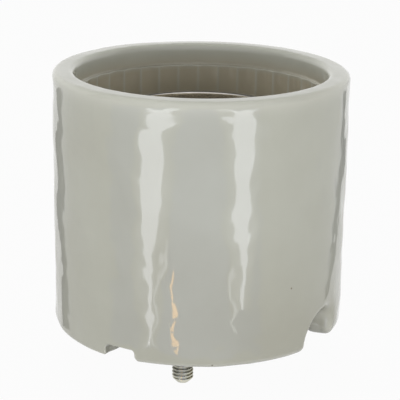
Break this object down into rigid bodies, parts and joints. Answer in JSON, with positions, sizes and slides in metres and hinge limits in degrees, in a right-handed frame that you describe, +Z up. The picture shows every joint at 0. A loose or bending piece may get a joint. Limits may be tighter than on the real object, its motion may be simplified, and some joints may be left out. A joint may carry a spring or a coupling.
{
  "type": "porcelain mogul lamp holder",
  "caption": "Glazed porcelain mogul lamp holder: fluted mouth over a rolled E39 screw shell, sprung centre contact, wire clamps under the web and mounting studs.",
  "frame": {"origin": "centre of the base plane, midway between the mounting studs", "axes": "+Z up the lamp axis towards the mouth; +X out of one wire notch"},
  "size_m": [0.0666, 0.0666, 0.0682],
  "materials": {
    "glazed_porcelain": "pale grey-green glossy glaze",
    "nickel_plated_brass": "bright nickel plate",
    "brass": "bright",
    "zinc_plated_steel": "bright zinc plate",
    "spring_steel": "oiled",
    "sealing_cement": "matt"
  },
  "bodies": {
    "holder": {"porcelain_body": "glazed_porcelain", "screw_shell": "nickel_plated_brass", "shell_rivet_live": "brass", "shell_rivet_anchor": "brass", "anchor_washer": "zinc_plated_steel", "shell_terminal_plate": "brass", "contact_spring": "spring_steel", "contact_bush": "brass", "contact_bush_nut": "brass", "contact_terminal_plate": "brass", "mounting_stud_front": "zinc_plated_steel", "mounting_stud_rear": "zinc_plated_steel", "stud_seal_front": "sealing_cement", "stud_seal_rear": "sealing_cement"},
    "contact": {"contact_button": "nickel_plated_brass", "contact_clip": "spring_steel"},
    "shell_clamp": {"shell_terminal_saddle": "zinc_plated_steel"},
    "shell_screw": {"shell_terminal_screw": "nickel_plated_brass"},
    "contact_clamp": {"contact_terminal_saddle": "zinc_plated_steel"},
    "contact_screw": {"contact_terminal_screw": "brass"}
  },
  "joints": [
    {"name": "contact_press", "type": "slide", "parent": "holder", "child": "contact", "axis": [0, 0, -1], "range_m": [0, 0.0025], "stiffness_N_per_m": 2500, "springref_m": -0.002, "deforming": ["contact_spring"]},
    {"name": "shell_clamp_slide", "type": "slide", "parent": "holder", "child": "shell_clamp", "axis": [0, 0, -1], "range_m": [0, 0.00238]},
    {"name": "shell_screw_turn", "type": "hinge", "parent": "shell_clamp", "child": "shell_screw", "pos_m": [0.01845, 0, 0.005], "axis": [0, 0, -1], "range_deg": [0, 1080]},
    {"name": "contact_clamp_slide", "type": "slide", "parent": "holder", "child": "contact_clamp", "axis": [0, 0, -1], "range_m": [0, 0.00238]},
    {"name": "contact_screw_turn", "type": "hinge", "parent": "contact_clamp", "child": "contact_screw", "pos_m": [-0.01845, 0, 0.005], "axis": [0, 0, -1], "range_deg": [0, 1080]}
  ],
  "couplings": [
    {"joint": "shell_screw_turn", "follows": "shell_clamp_slide", "rad_per_m": 7915.8},
    {"joint": "contact_screw_turn", "follows": "contact_clamp_slide", "rad_per_m": 7915.8}
  ]
}
